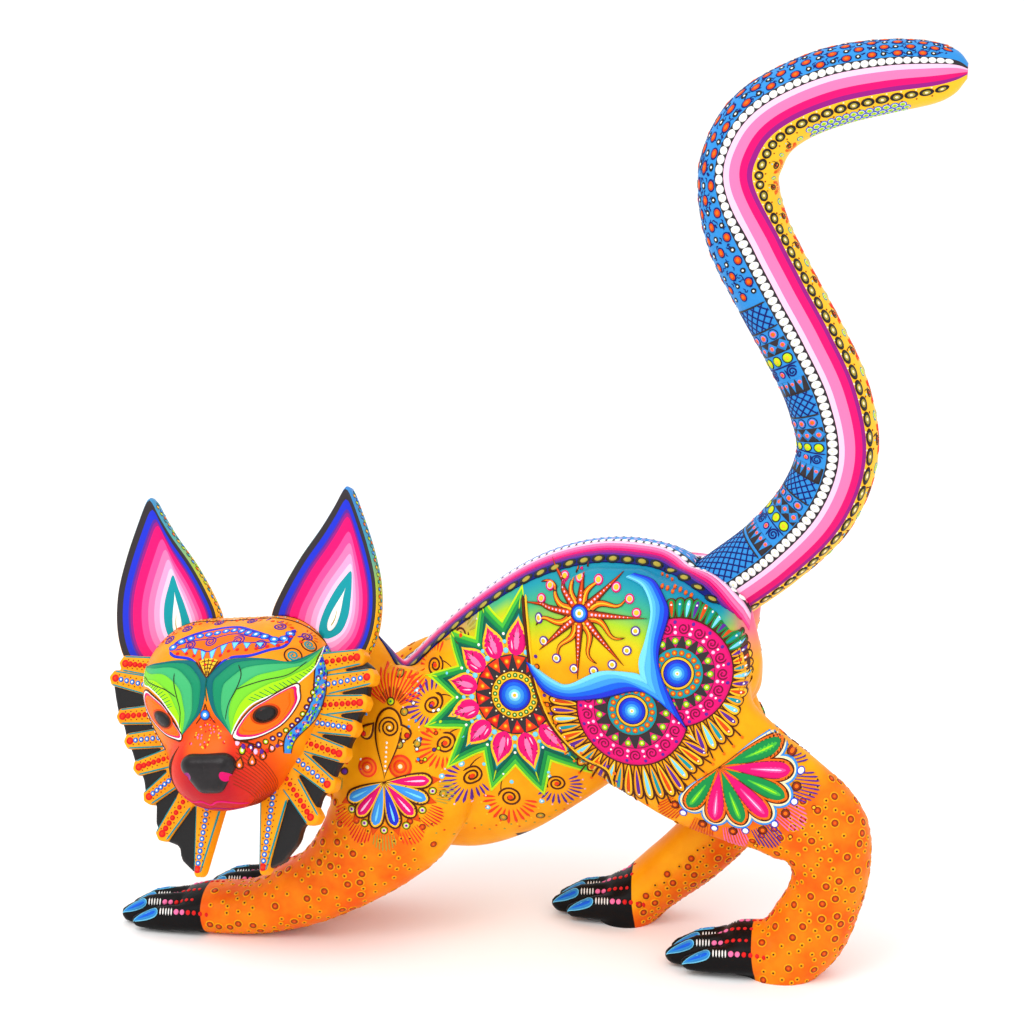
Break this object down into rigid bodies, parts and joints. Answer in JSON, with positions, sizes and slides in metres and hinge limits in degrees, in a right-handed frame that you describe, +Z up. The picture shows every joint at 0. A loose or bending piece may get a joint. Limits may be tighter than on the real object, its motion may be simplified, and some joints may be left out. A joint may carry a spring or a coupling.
{
  "type": "alebrije cat figure",
  "caption": "Crouching big-eared wooden cat figure with raised rump, tall curved tail, ruffed head and painted dot patterns.",
  "frame": {"origin": "centre of the bounding box, at the plane the four soles stand on", "axes": "+Z up, -X towards the head end and the toes, +X towards the tail, -Y out of the animal's left flank"},
  "size_m": [0.4665, 0.1801, 0.5059],
  "materials": {
    "painted_torso": "satin acrylic paint with raised dots and brush strokes, sealed, over carved wood",
    "painted_head": "satin acrylic paint with raised dots and brush strokes, sealed, over carved wood",
    "bare_dowel": "bare turned hardwood",
    "painted_ruff": "satin acrylic paint with raised dots and brush strokes, sealed, over carved wood",
    "painted_ears": "satin acrylic paint with raised dots and brush strokes, sealed, over carved wood",
    "painted_tail": "satin acrylic paint with raised dots and brush strokes, sealed, over carved wood",
    "painted_legs": "satin acrylic paint with raised dots and brush strokes, sealed, over carved wood"
  },
  "bodies": {
    "figure": {"torso": "painted_torso", "head": "painted_head", "neck_dowel": "bare_dowel", "ruff_left": "painted_ruff", "ruff_right": "painted_ruff", "ruff_pins": "bare_dowel", "foreleg_left": "painted_legs", "foreleg_right": "painted_legs", "hindleg_left": "painted_legs", "hindleg_right": "painted_legs", "foreleg_left_dowels": "bare_dowel", "foreleg_right_dowels": "bare_dowel", "hindleg_left_dowels": "bare_dowel", "hindleg_right_dowels": "bare_dowel"},
    "tail": {"tail": "painted_tail", "tail_peg": "bare_dowel"},
    "ear_left": {"ear_left": "painted_ears", "ear_left_peg": "bare_dowel"},
    "ear_right": {"ear_right": "painted_ears", "ear_right_peg": "bare_dowel"}
  },
  "joints": [
    {"name": "tail_slide", "type": "slide", "parent": "figure", "child": "tail", "axis": [0.7986, 0, 0.6018], "range_m": [0, 0.044]},
    {"name": "ear_left_slide", "type": "slide", "parent": "figure", "child": "ear_left", "axis": [0.1803, 0.3342, 0.9251], "range_m": [0, 0.024]},
    {"name": "ear_right_slide", "type": "slide", "parent": "figure", "child": "ear_right", "axis": [-0.3322, 0.3826, 0.8621], "range_m": [0, 0.024]}
  ]
}
